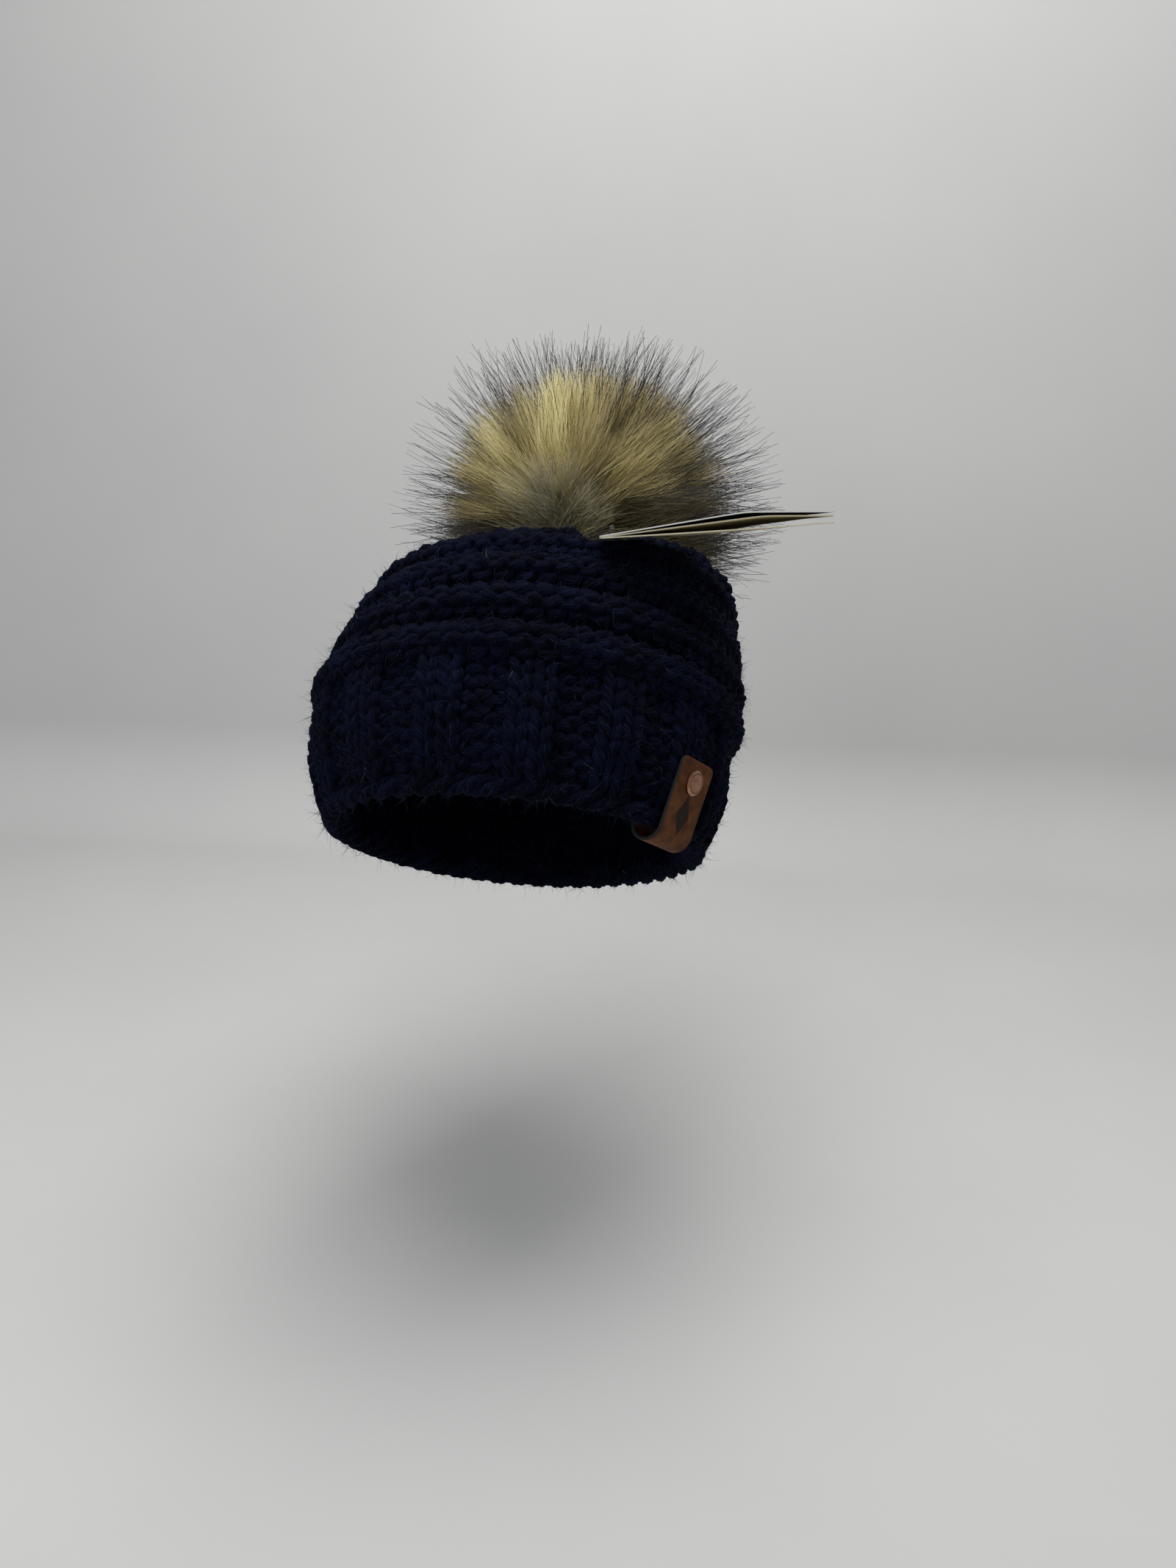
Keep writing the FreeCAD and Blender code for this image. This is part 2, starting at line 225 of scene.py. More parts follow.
def tubes(paths, radius, sides, normals, closed, lobe_depth=0.0, turns=None):
    """Points and side faces of round or plied tubes on paths of shape (paths, points, 3).

    radius is (paths, points). With lobes, turns is how far the plies have turned at each point."""
    count, steps, _ = paths.shape
    if closed:
        tangent = np.roll(paths, -1, 1) - np.roll(paths, 1, 1)
    else:
        tangent = np.gradient(paths, axis=1)
    tangent /= np.maximum(np.linalg.norm(tangent, axis=2, keepdims=True), 1e-12)
    side = np.cross(tangent, normals)
    side /= np.maximum(np.linalg.norm(side, axis=2, keepdims=True), 1e-12)
    up = np.cross(side, tangent)
    around = np.arange(sides) / sides * TAU
    reach = radius[:, :, None] * np.ones(sides)
    if lobe_depth:
        reach = reach * (1 + lobe_depth * np.cos(PLIES * (around - turns[:, :, None])))
    ring = np.cos(around)[:, None] * side[:, :, None, :] + np.sin(around)[:, None] * up[:, :, None, :]
    points = paths[:, :, None, :] + reach[..., None] * ring
    index = np.arange(count * steps * sides).reshape(count, steps, sides)
    here, there = (index, np.roll(index, -1, 1)) if closed else (index[:, :-1], index[:, 1:])
    quads = np.stack([here, there, np.roll(there, -1, 2), np.roll(here, -1, 2)], -1)
    return points.reshape(-1, 3), quads, index


# ---------------------------------------------------------------------------
# Materials

def material(name):
    mat = bpy.data.materials.new(name)
    mat.use_nodes = True
    tree = mat.node_tree
    return mat, tree, tree.nodes["Principled BSDF"]


def node(tree, kind, inputs=(), **settings):
    made = tree.nodes.new(kind)
    for key, value in settings.items():
        setattr(made, key, value)
    for key, value in dict(inputs).items():
        if isinstance(value, bpy.types.NodeSocket):
            tree.links.new(value, made.inputs[key])
        else:
            made.inputs[key].default_value = value
    return made


def ramp(tree, factor, stops):
    """A colour ramp from (position, colour) stops."""
    made = tree.nodes.new("ShaderNodeValToRGB")
    band = made.color_ramp
    while len(band.elements) < len(stops):
        band.elements.new(0.5)
    for element, (place, colour) in zip(band.elements, stops):
        element.position = place
        element.color = (*colour, 1)
    tree.links.new(factor, made.inputs["Fac"])
    return made.outputs["Color"]


def bump(tree, shader, height, strength, distance):
    made = node(tree, "ShaderNodeBump", {"Height": height, "Strength": strength, "Distance": distance})
    tree.links.new(made.outputs["Normal"], shader.inputs["Normal"])


def set_inputs(shader, **values):
    for key, value in values.items():
        shader.inputs[key.replace("_", " ")].default_value = value


def uv_node(tree):
    return node(tree, "ShaderNodeUVMap", uv_map="OFBake").outputs["UV"]


def object_place(tree):
    return node(tree, "ShaderNodeTexCoord").outputs["Object"]


def noise(tree, vector, scale, detail=3.0, roughness=0.5):
    return node(tree, "ShaderNodeTexNoise", {"Vector": vector, "Scale": scale, "Detail": detail,
                                             "Roughness": roughness}).outputs["Fac"]


def math_node(tree, operation, a, b=0.0):
    return node(tree, "ShaderNodeMath", {0: a, 1: b}, operation=operation).outputs["Value"]


def stretched(tree, vector, scale, turn=(0, 0, 0)):
    mapping = node(tree, "ShaderNodeMapping", {"Vector": vector, "Scale": scale, "Rotation": turn})
    return mapping.outputs["Vector"]


def uv_parts(tree):
    return node(tree, "ShaderNodeSeparateXYZ", {0: uv_node(tree)}).outputs


def mixed(tree, factor, a, b, blend="MIX"):
    """Blends two colours; each of the three is a socket or a value."""
    mix = node(tree, "ShaderNodeMix", data_type="RGBA", blend_type=blend)
    for socket, value in ((mix.inputs[0], factor), (mix.inputs[6], a), (mix.inputs[7], b)):
        if isinstance(value, bpy.types.NodeSocket):
            tree.links.new(value, socket)
        else:
            socket.default_value = (*value, 1) if isinstance(value, tuple) else value
    return mix.outputs[2]


def plain_material(name, low, high, scale, rough, bump_size=0.0002, specular=0.3, metallic=0.0, fine=None):
    """A material whose colour drifts between two colours, with a fine bump."""
    mat, tree, shader = material(name)
    place = object_place(tree)
    drift = noise(tree, place, scale, 4.0, 0.6)
    tree.links.new(ramp(tree, drift, [(0.32, low), (0.68, high)]), shader.inputs["Base Color"])
    bump(tree, shader, noise(tree, place, fine or scale * 6, 4.0, 0.65), 0.5, bump_size)
    set_inputs(shader, Roughness=rough, Specular_IOR_Level=specular, Metallic=metallic)
    return mat


# ---------------------------------------------------------------------------
# Knit

STITCH = 9.4                # width of a stitch
YARN_RADIUS = 2.4
PLIES = 3
PLY_DEPTH = 0.12
PLY_PITCH = 17.0            # length of yarn per turn of its plies
STEPS = 18         # along each stitch
SIDES = 12
KNIT_DEPTH = 3.8            # the yarn's middle under the outer surface
RIB_STITCHES = 64
RIB_ROWS = 7
RIB_LOW = 10.0
RIB_HIGH = 47.5
RIB_SINK = 2.8              # how far the purl columns sit behind the knit ones
RIB_START = 0.18            # angle of the first pair of columns
WELT_ROWS = 4
LOOP_SPREAD = 0.185         # how far a loop leans over its neighbours, in stitches
RIB_LOOP = (5.5, 1.9)       # half height and half depth of a rib loop
WELT_LOOP = (4.9, 1.7)
EDGE_STRANDS = 3
EDGE_STRAND_RADIUS = 2.35
EDGE_ROPE_RADIUS = 2.3      # from the rope's middle to a strand's
EDGE_ROPE_HEIGHT = 3.9
EDGE_TURNS = 16
GATHER_ROWS = ((19.5, 13), (13.0, 9), (6.5, 5))     # radius and stitches of each ring
rng = np.random.default_rng(7)
fuzz_seats = []             # points of the yarn's surface with their outward normals


def wobble(count, size):
    """A smooth closed wander."""
    place = np.arange(count) / count * TAU
    waves = (3, 7, 13, 29, 53)
    total = sum(rng.normal() * np.cos(k * place + rng.uniform(0, TAU)) for k in waves)
    return size * total / len(waves) ** 0.5


def stitch_wave(stitches, spread, height, depth, front):
    """One course of stitches: place along the course in stitches, rise, and height over the fabric.

    front is 1 for a stitch whose legs lie in front and -1 for one whose head does."""
    place = np.arange(stitches * STEPS) / STEPS
    left = np.floor(place).astype(int) % stitches
    right = (left + 1) % stitches
    part = np.clip((place - np.floor(place) - 0.34) / 0.32, 0, 1)
    part = part * part * (3 - 2 * part)
    side = front[left] * (1 - part) + front[right] * part
    across = place + spread * np.sin(2 * TAU * place)
    return across, height * np.cos(TAU * place), -side * depth * np.cos(2 * TAU * place), side


def yarn_piece(name, courses, radius=YARN_RADIUS):
    """A closed plied yarn for each course, which is upright points and outward directions."""
    points, faces, coords = [], [], []
    first = 0
    for path, normal in courses:
        step = np.linalg.norm(np.roll(path, -1, 0) - path, axis=1)
        run = np.concatenate([[0], np.cumsum(step)])
        twist = run / run[-1] * max(1, round(run[-1] / PLY_PITCH)) * TAU
        thick = radius * (1 + wobble(len(path), 0.035))
        p, quads, _ = tubes(path[None], thick[None], SIDES, normal[None], True, PLY_DEPTH, twist[None, :-1])
        out = normal / np.linalg.norm(normal, axis=1, keepdims=True)
        fuzz_seats.append((p.reshape(-1, SIDES, 3)[:, SIDES // 4], out))
        points.append(p)
        faces.append(quads.reshape(-1, 4) + first)
        side = np.arange(SIDES + 1) / SIDES
        low, high = twist[:-1, None] / TAU, twist[1:, None] / TAU
        u0, u1 = run[:-1, None] * MM + 0 * side[:-1], run[1:, None] * MM + 0 * side[:-1]
        v = [side[:-1] - low, side[:-1] - high, side[1:] - high, side[1:] - low]
        coords.append(np.stack([np.stack([u, w], -1) for u, w in zip((u0, u1, u1, u0), v)], 2).reshape(-1, 2))
        first += len(p)
    points = pressed(leaned(np.concatenate(points)))
    return new_object(name, points, [np.concatenate(faces)], np.concatenate(coords))


def rib_course(row):
    """One row of the two-by-two rib."""
    front = np.where((np.arange(RIB_STITCHES) // 2) % 2 == 0, 1.0, -1.0)
    across, rise, out, side = stitch_wave(RIB_STITCHES, LOOP_SPREAD, *RIB_LOOP, front)
    height = RIB_LOW + (RIB_HIGH - RIB_LOW) * row / (RIB_ROWS - 1) + rise + wobble(len(rise), 0.5)
    angle = across / RIB_STITCHES * TAU + RIB_START
    lift = RIB_SINK * (0.5 * side - 0.35)
    reach = band_radius(np.clip(height, 2, 56)) - KNIT_DEPTH + 0.8 + out + lift + wobble(len(rise), 0.4)
    return oval(angle, reach, height, False), oval(angle, np.ones_like(angle), 0 * height, False)


def welt_section(index):
    """Circle of a roll's outer side and the angles of its lower and upper ends."""
    low = on_crown(index * WELT_PITCH, VALLEY_DEPTH)
    peak = on_crown((index + 0.5) * WELT_PITCH, 0)
    high = on_crown((index + 1) * WELT_PITCH, VALLEY_DEPTH)
    if index == 0:
        low[1] = BAND_TOP
    centre, radius = circle_through(low, peak, high)
    a = math.atan2(low[1] - centre[1], low[0] - centre[0])
    b = math.atan2(high[1] - centre[1], high[0] - centre[0])
    return centre, radius, a, b


def welt_course(index, row):
    """One row of a roll of reverse stocking stitch."""
    centre, outer, low, high = welt_section(index)
    middle = centre[0] + 0.7 * outer * math.cos((low + high) / 2)
    stitches = max(10, round(TAU * middle * 1.045 / STITCH))
    across, rise, out, _ = stitch_wave(stitches, LOOP_SPREAD, *WELT_LOOP, np.full(stitches, -1.0))
    run = outer - KNIT_DEPTH
    where = low + (high - low) * (0.12 + 0.76 * row / (WELT_ROWS - 1))
    tilt = where + (rise + wobble(len(rise), 0.5)) / (run + 1.0)
    angle = across / stitches * TAU + 0.4 * index + 0.06 * row
    reach = run + out + wobble(len(rise), 0.5)
    path = oval(angle, centre[0] + reach * np.cos(tilt), centre[1] + reach * np.sin(tilt), True)
    axis = oval(angle, np.full_like(angle, centre[0]), np.full_like(angle, centre[1]), True)
    return path, path - axis


def edge_course(strand):
    """One strand of the roped cast-on edge."""
    count = RIB_STITCHES * STEPS
    angle = np.arange(count) / count * TAU
    twist = angle * EDGE_TURNS + strand / EDGE_STRANDS * TAU
    out = oval(angle, np.ones(count), np.zeros(count), False)
    out /= np.linalg.norm(out, axis=1, keepdims=True)
    turn = np.cos(twist)[:, None] * out + np.sin(twist)[:, None] * np.array([0, 0, 1.0])
    centre = oval(angle, np.full(count, EDGE_MIDDLE_RADIUS + 0.2), np.full(count, EDGE_ROPE_HEIGHT), False)
    return centre + EDGE_ROPE_RADIUS * turn + wobble(count, 0.35)[:, None] * out, turn


def gather_course(row):
    """The drawn-in rings of stitches at the middle of the crown."""
    radius, stitches = GATHER_ROWS[row]
    across, rise, out, _ = stitch_wave(stitches, 0.12, 3.6, 1.2, np.full(stitches, -1.0))
    angle = across / stitches * TAU
    path = oval(angle, radius - rise, CROWN_HEIGHT - VALLEY_DEPTH - 3.6 + out, True)
    return path, np.tile([0, 0, 1.0], (len(angle), 1))


def ring_shell(name, outline, crown, turns=160):
    """A closed ring from an outline of (radius, height) points."""
    outline = np.array(outline)
    angle = np.arange(turns) / turns * TAU
    points = oval(angle[:, None], outline[None, :, 0], outline[None, :, 1], crown)
    index = np.arange(turns * len(outline)).reshape(turns, len(outline))
    nxt = np.roll(index, -1, 0)
    quads = np.stack([index, nxt, np.roll(nxt, -1, 1), np.roll(index, -1, 1)], -1).reshape(-1, 4)
    return new_object(name, pressed(leaned(points.reshape(-1, 3))), [quads])


def band_core():
    heights = np.linspace(5, BAND_TOP + 2, 14)
    outer = [(band_radius(h) - KNIT_DEPTH - 0.4, h) for h in heights]
    inner = [(r - 0.8, h) for r, h in outer][::-1]
    return ring_shell("band_core", outer + inner, False)


def crown_core():
    line = []
    for index in range(WELT_COUNT):
        centre, outer, low, high = welt_section(index)
        reach = outer - KNIT_DEPTH - 0.3
        for part in np.linspace(0.0, 1.0, 7):
            turn = low + (high - low) * part
            line.append((centre[0] + reach * math.cos(turn), centre[1] + reach * math.sin(turn)))
    line.append((1.2, CROWN_HEIGHT - VALLEY_DEPTH - KNIT_DEPTH - 0.6))
    inner = [(max(r - 0.6, 0.6), h - 0.8) for r, h in line][::-1]
    return ring_shell("crown_core", line + inner, True)


def yarn_material():
    """Matt acrylic yarn, dark navy, with fine fibres along each ply."""
    mat, tree, shader = material("navy_yarn")
    fibres = noise(tree, stretched(tree, uv_node(tree), (60.0, 9.0, 1.0), (0, 0, 0.5)), 3.0, 4.0)
    drift = noise(tree, object_place(tree), 45.0)
    fine = math_node(tree, "MULTIPLY", fibres, 0.78)
    shade = node(tree, "ShaderNodeMath", {0: drift, 1: 0.22, 2: fine}, operation="MULTIPLY_ADD")
    colour = ramp(tree, shade.outputs["Value"], [(0.41, (0.0002, 0.0003, 0.0012)),
                                                 (0.5, (0.0007, 0.0010, 0.0045)),
                                                 (0.61, (0.0036, 0.0058, 0.0225))])
    tree.links.new(colour, shader.inputs["Base Color"])
    set_inputs(shader, Roughness=0.9, Sheen_Weight=0.02, Sheen_Roughness=0.4,
               Sheen_Tint=(0.10, 0.22, 0.85, 1), Specular_IOR_Level=0.05)
    bump(tree, shader, fibres, 1.0, 0.0009)
    return mat


def core_material():
    """Fibres between the loops of the knit, coloured darker than the yarn as painted shade between the loops.
    """
    mat, tree, shader = material("yarn_core")
    fluff = noise(tree, object_place(tree), 900.0)
    # painted shade: darker than the yarn, for the shade that falls between the loops
    colour = ramp(tree, fluff, [(0.3, (0.0004, 0.0006, 0.002)), (0.7, (0.0012, 0.0018, 0.006))])
    tree.links.new(colour, shader.inputs["Base Color"])
    set_inputs(shader, Roughness=0.95, Specular_IOR_Level=0.1)
    bump(tree, shader, fluff, 0.5, 0.0005)
    return mat


def build_knit():
    yarn = yarn_material()
    core = core_material()
    half = (RIB_ROWS + 1) // 2
    for name, rows in (("rib_rows_low", range(half)), ("rib_rows_high", range(half, RIB_ROWS))):
        rib = yarn_piece(name, [rib_course(r) for r in rows])
        finish_piece(rib, yarn, "hat", "knit_yarn", "rib_band")
    edge = yarn_piece("rope_edge", [edge_course(s) for s in range(EDGE_STRANDS)], EDGE_STRAND_RADIUS)
    finish_piece(edge, yarn, "hat", "knit_yarn", "cast_on_edge")
    for index in range(WELT_COUNT):
        piece = yarn_piece(f"roll_{index + 1}", [welt_course(index, r) for r in range(WELT_ROWS)])
        finish_piece(piece, yarn, "hat", "knit_yarn", f"welt_{index + 1}")
    gather = yarn_piece("gathered_stitches", [gather_course(r) for r in range(len(GATHER_ROWS))])
    finish_piece(gather, yarn, "hat", "knit_yarn", "crown_gather")
    for piece in (band_core(), crown_core()):
        finish_piece(piece, core, "hat", "knit_yarn")


# ---------------------------------------------------------------------------
# Hairs

def unit(v):
    return v / np.maximum(np.linalg.norm(v, axis=-1, keepdims=True), 1e-12)


def hairs(name, paths, radius, tone):
    """Closed three-sided tapering hairs as one mesh, with the hair's tone as u and its length as v."""
    count, steps, _ = paths.shape
    across = unit(rng.normal(size=(count, 1, 3)))
    points, quads, index = tubes(paths, radius, 3, across, False)
    run = np.arange(steps) / (steps - 1)
    place = 0.98 * tone[:, None, None] + 0.02 * np.arange(4) / 3
    shape = (count, steps - 1, 3)
    u0, u1 = np.broadcast_to(place[..., :-1], shape), np.broadcast_to(place[..., 1:], shape)
    v0, v1 = np.broadcast_to(run[:-1, None], shape), np.broadcast_to(run[1:, None], shape)
    uv = np.stack([np.stack(c, -1) for c in ((u0, v0), (u0, v1), (u1, v1), (u1, v0))], 3).reshape(-1, 2)
    ends = np.concatenate([index[:, 0], index[:, -1, ::-1]])
    end_tone = np.tile(0.98 * tone[:, None], (2, 3)) + 0.02 * np.array([0, 0.5, 1])
    end_run = np.concatenate([np.tile([0.0, 0.04, 0.0], (count, 1)), np.tile([1.0, 0.96, 1.0], (count, 1))])
    uv = np.concatenate([uv, np.stack([end_tone, end_run], -1).reshape(-1, 2)])
    return new_object(name, points * MM, [quads.reshape(-1, 4), ends], uv)


def build_fuzz():
    """The fine fibres that stand off the yarn, and a few pale ones caught in it."""
    seats = np.concatenate([s for s, _ in fuzz_seats])
    outward = np.concatenate([o for _, o in fuzz_seats])
    for name, count, reach, thick, colours in (
            ("yarn_fuzz_1", 9800, 4.6, 0.075, ((0.004, 0.006, 0.018), (0.016, 0.022, 0.055))),
            ("yarn_fuzz_2", 9800, 3.2, 0.065, ((0.004, 0.006, 0.018), (0.016, 0.022, 0.055))),
            ("stray_fibres", 45, 5.0, 0.06, ((0.12, 0.12, 0.11), (0.4, 0.36, 0.3)))):
        pick = rng.integers(0, len(seats), count)
        steps = np.linspace(0, 1, 4)[None, :, None]
        lengths = reach * rng.uniform(0.35, 1.5, (count, 1, 1))
        start = unit(outward[pick] + 0.9 * rng.normal(size=(count, 3)))[:, None]
        bend = unit(rng.normal(size=(count, 3)))[:, None]
        paths = seats[pick][:, None] + lengths * (start * steps + 0.55 * bend * steps**2)
        radius = thick * (1.15 - steps[..., 0]) * np.ones((count, 1))
        mat, tree, shader = material(name)
        along = uv_parts(tree)["X"]
        tree.links.new(ramp(tree, along, [(0.0, colours[0]), (1.0, colours[1])]), shader.inputs["Base Color"])
        set_inputs(shader, Roughness=0.8, Specular_IOR_Level=0.2)
        piece = hairs(name, leaned(paths) / MM, radius, rng.uniform(0, 1, count))
        finish_piece(piece, mat, "hat", "knit_yarn")


# ---------------------------------------------------------------------------
# Pom

POM_LIFT = 33.0
POM_RADIUS = 72.0
POM_RELIEF = math.radians(13.0)
HAT_UP = np.array([0, math.sin(LEAN), math.cos(LEAN)])
POM_CENTRE = PIVOT + POM_LIFT * HAT_UP
WHORL = unit(np.array([-0.15, -0.97, 0.02]))
WHORL_RIGHT = unit(np.cross([0, 0, 1.0], WHORL)) * -1
WHORL_UP = np.cross(WHORL, -WHORL_RIGHT) * -1
TOP_LIMIT = 226.0           # no hair rises or reaches back past these
BACK_LIMIT = 188.0
TUFTS = 1000
WHORL_TUFTS = 150           # of them, crowded round the whorl
FUR_PIECES = 5
FUR_ROOT = 30.0             # distance of the hairs' roots from the pom's middle
GUARD_ROOT = 42.0
UNDERCOAT_RADIUS = 44.0
FUR_STEPS = 6               # points along a hair
# turn round the whorl and width of each dark streak in degrees, and its depth
FUR_STREAKS = ((14, 15, 0.56), (-16, 16, 0.34), (42, 8, 0.42), (66, 4, 0.22), (97, 4, 0.16),
               (170, 17, 0.34), (-165, 20, 0.38), (-60, 14, 0.25), (-120, 18, 0.25))


def clear_of_crown(points, slack):
    """Lifts points that are under the pom's relieved underside, by slack, an angle, more or less."""
    local = points - PIVOT
    rise = local @ HAT_UP
    flat = local - rise[..., None] * HAT_UP
    floor = np.linalg.norm(flat, axis=-1) * np.tan(POM_RELIEF - slack) + 0.5
    return points + np.maximum(floor - rise, 0)[..., None] * HAT_UP


def fur_shade(direction, spread):
    """Tone, dark brown at 0 and cream at 1, of fur in a direction: streaks fan from the whorl."""
    right, up = direction @ WHORL_RIGHT, direction @ WHORL_UP
    turn = np.degrees(np.arctan2(up, right))
    tone = np.full(len(direction), 0.70)
    for centre, width, depth in FUR_STREAKS:
        gap = (turn - centre + 180) % 360 - 180
        tone -= depth * np.exp(-(gap / width) ** 2)
    for k in (5, 9, 16, 27):
        tone += 0.045 * np.sin(np.radians(turn) * k + 1.7 * k)
    return np.clip(tone + spread * rng.normal(size=len(direction)), 0.02, 0.80)


def fur_material(name, tip_start, tip_colour, tip_mix):
    """Faux fur: dull brown at the root, then tan, cream or brown by hair, and darker towards the tip."""
    mat, tree, shader = material(name)
    parts = uv_parts(tree)
    tone, run = parts["X"], parts["Y"]
    body = ramp(tree, tone, [(0.0, (0.016, 0.012, 0.006)), (0.28, (0.085, 0.062, 0.025)),
                             (0.52, (0.45, 0.365, 0.135)), (0.80, (0.88, 0.79, 0.41)),
                             (0.86, (0.30, 0.275, 0.18)), (1.0, (0.50, 0.465, 0.31))])
    rooted = mixed(tree, ramp(tree, run, [(0.12, (1, 1, 1)), (0.42, (0, 0, 0))]), body, (0.115, 0.094, 0.050))
    tipped = ramp(tree, run, [(tip_start, (0, 0, 0)), (min(tip_start + 0.25, 1.0), (tip_mix,) * 3)])
    tree.links.new(mixed(tree, tipped, rooted, tip_colour), shader.inputs["Base Color"])
    set_inputs(shader, Roughness=0.5, Specular_IOR_Level=0.35, Sheen_Weight=0.08, Sheen_Roughness=0.4)
    return mat


def fur_paths(direction, tip, reach, root, steps, slack):
    """Hairs that leave the ball straight and bend over to their tips."""
    s = np.linspace(0, 1, steps)[None, :, None]
    start = direction[:, None] * root
    knee = direction[:, None] * (root + 0.5 * (reach - root))[:, None, None]
    end = (tip * reach[:, None])[:, None]
    paths = POM_CENTRE + (1 - s) ** 2 * start + 2 * s * (1 - s) * knee + s**2 * end
    return clear_of_crown(paths, slack[:, None])


def held_in(direction, reach):
    """Shortens hairs that would rise or reach back past the limits, each to a place of its own."""
    top = (TOP_LIMIT - POM_CENTRE[2]) / np.maximum(direction[:, 2], 1e-3)
    back = (BACK_LIMIT - POM_CENTRE[1]) / np.maximum(direction[:, 1], 1e-3)
    return np.minimum(reach, np.minimum(top, back) * rng.uniform(0.88, 1.0, len(reach)))


def build_pom():
    centres = unit(rng.normal(size=(TUFTS, 3)))
    centres[:WHORL_TUFTS] = unit(WHORL + 0.35 * rng.normal(size=(WHORL_TUFTS, 3)))
    lean_over = unit(centres - (centres @ WHORL)[:, None] * WHORL)
    facing = centres @ WHORL
    away = np.clip(np.arccos(np.clip(facing, -1, 1)) / 0.65, 0.12, 1)
    tips = unit(centres + (away * (0.70 * np.clip(0.5 + 0.5 * facing, 0, 1) + 0.10))[:, None] * lean_over
                + 0.10 * rng.normal(size=(TUFTS, 3)))
    shade = fur_shade(tips, 0.07)
    grey = (facing > 0.972) & (rng.random(TUFTS) < 0.8)
    heights = POM_RADIUS * (1 + 0.035 * rng.normal(size=TUFTS))
    body = fur_material("fur_body", 0.84, (0.10, 0.07, 0.035), 0.4)
    per_piece = 5600
    for number in range(FUR_PIECES):
        pick = rng.integers(0, TUFTS, per_piece)
        direction = unit(centres[pick] + 0.075 * rng.normal(size=(per_piece, 3)))
        tip = unit(tips[pick] + 0.045 * rng.normal(size=(per_piece, 3)))
        reach = held_in(tip, heights[pick] * rng.uniform(0.80, 1.03, per_piece))
        slack = np.radians(rng.uniform(-9, 9, per_piece))
        paths = fur_paths(direction, tip, reach, FUR_ROOT, FUR_STEPS, slack)
        thick = rng.uniform(0.15, 0.21, (per_piece, 1)) * 1
        radius = np.linspace(1.0, 0.22, FUR_STEPS)[None] * thick
        tone = np.clip(shade[pick] + 0.06 * rng.normal(size=per_piece), 0.02, 0.8)
        tone = np.where(grey[pick], rng.uniform(0.86, 1.0, per_piece), tone)
        piece = hairs(f"fur_{number + 1}", paths, radius, tone)
        finish_piece(piece, body, "pom", "pom_fur", "pom_fur")
    build_guard_hairs()
    build_undercoat()


def build_guard_hairs():
    """The long dark hairs that stand out of the fur."""
    count = 5400
    direction = unit(rng.normal(size=(count, 3)))
    facing = direction @ WHORL
    shade = fur_shade(direction, 0.0)
    keep = rng.random(count) < np.clip(1.30 - 1.35 * np.clip(facing, 0, 1) - 0.9 * (shade - 0.4), 0.05, 1.0)
    direction, facing = direction[keep], facing[keep]
    count = len(direction)
    lean_over = unit(direction - (direction @ WHORL)[:, None] * WHORL)
    tip = unit(direction + (0.42 * np.clip(0.5 + 0.5 * facing, 0, 1) + 0.06)[:, None] * lean_over
               + 0.09 * rng.normal(size=(count, 3)))
    reach = held_in(tip, POM_RADIUS - 2 + 30 * rng.random(count) ** 1.5)
    slack = np.radians(rng.uniform(-9, 10, count))
    paths = fur_paths(direction, tip, reach, GUARD_ROOT, FUR_STEPS, slack)
    thick = rng.uniform(0.13, 0.20, (count, 1)) * 1
    radius = np.linspace(1.0, 0.5, FUR_STEPS)[None] * thick
    guard = fur_material("fur_guard", 0.30, (0.006, 0.006, 0.007), 1.0)
    piece = hairs("fur_guard_hairs", paths, radius, rng.uniform(0.1, 0.5, count))
    finish_piece(piece, guard, "pom", "pom_fur")


def build_undercoat():
    """The soft ball of short fibres under the long fur."""
    bm = bmesh.new()
    bmesh.ops.create_icosphere(bm, subdivisions=5, radius=1.0)
    for vert in bm.verts:
        d = vert.co.normalized()
        swell = mathutils.noise.noise(d * 5.0) * 3.0 + mathutils.noise.noise(d * 17.0) * 1.6
        vert.co = d * (UNDERCOAT_RADIUS + swell)
    points = np.array([v.co[:] for v in bm.verts]) + POM_CENTRE
    lifted = clear_of_crown(points, np.zeros(len(points)))
    for vert, place in zip(bm.verts, lifted):
        vert.co = Vector(place * MM)
    mesh = bpy.data.meshes.new("fur_undercoat")
    bm.to_mesh(mesh)
    bm.free()
    mesh.polygons.foreach_set("use_smooth", np.full(len(mesh.polygons), True))
    ball = bpy.data.objects.new("fur_undercoat", mesh)
    bpy.context.scene.collection.objects.link(ball)
    mat = plain_material("undercoat", (0.05, 0.038, 0.02), (0.30, 0.24, 0.12),
                         90.0, 0.9, 0.0008, 0.2, fine=700.0)
    finish_piece(ball, mat, "pom", "pom_fur", "pom_fur")


# ---------------------------------------------------------------------------
# Leather tag

TAG_ANGLE = math.radians(-30.0)
TAG_WIDTH = 24.0
TAG_THICK = 1.6
TAG_FOLD_RADIUS = 5.9
TAG_FOLD_CENTRE = 79.6
TAG_FOLD_HEIGHT = 1.0
TAG_SLOPE = math.radians(18.0)
TAG_OUTER_LEG = 30.3
TAG_INNER_LEG = 25.8
TAG_CORNER = 3.0
TAG_RIVET = 21.3            # of the rivet, up the outer leg from the fold
MARK_MIDDLE = TAG_OUTER_LEG - TAG_RIVET + 14.0      # of the stamped mark, down the outer leg
MARK_HALF_WIDTH = 5.2
MARK_HALF_LENGTH = 9.0
TAG_FACE_START = 0.02       # of a face of the strip, and its width, across the UV square
TAG_FACE_WIDTH = 0.44


def tag_frame():
    heading = math.atan2(math.sin(TAG_ANGLE) / DEPTH_RATIO, math.cos(TAG_ANGLE))
    centre = np.array([TAG_FOLD_CENTRE * math.cos(TAG_ANGLE),
                       DEPTH_RATIO * TAG_FOLD_CENTRE * math.sin(TAG_ANGLE), TAG_FOLD_HEIGHT])
    out = np.array([math.cos(heading), math.sin(heading), 0])
    along = np.array([-math.sin(heading), math.cos(heading), 0])
    return centre, out, along


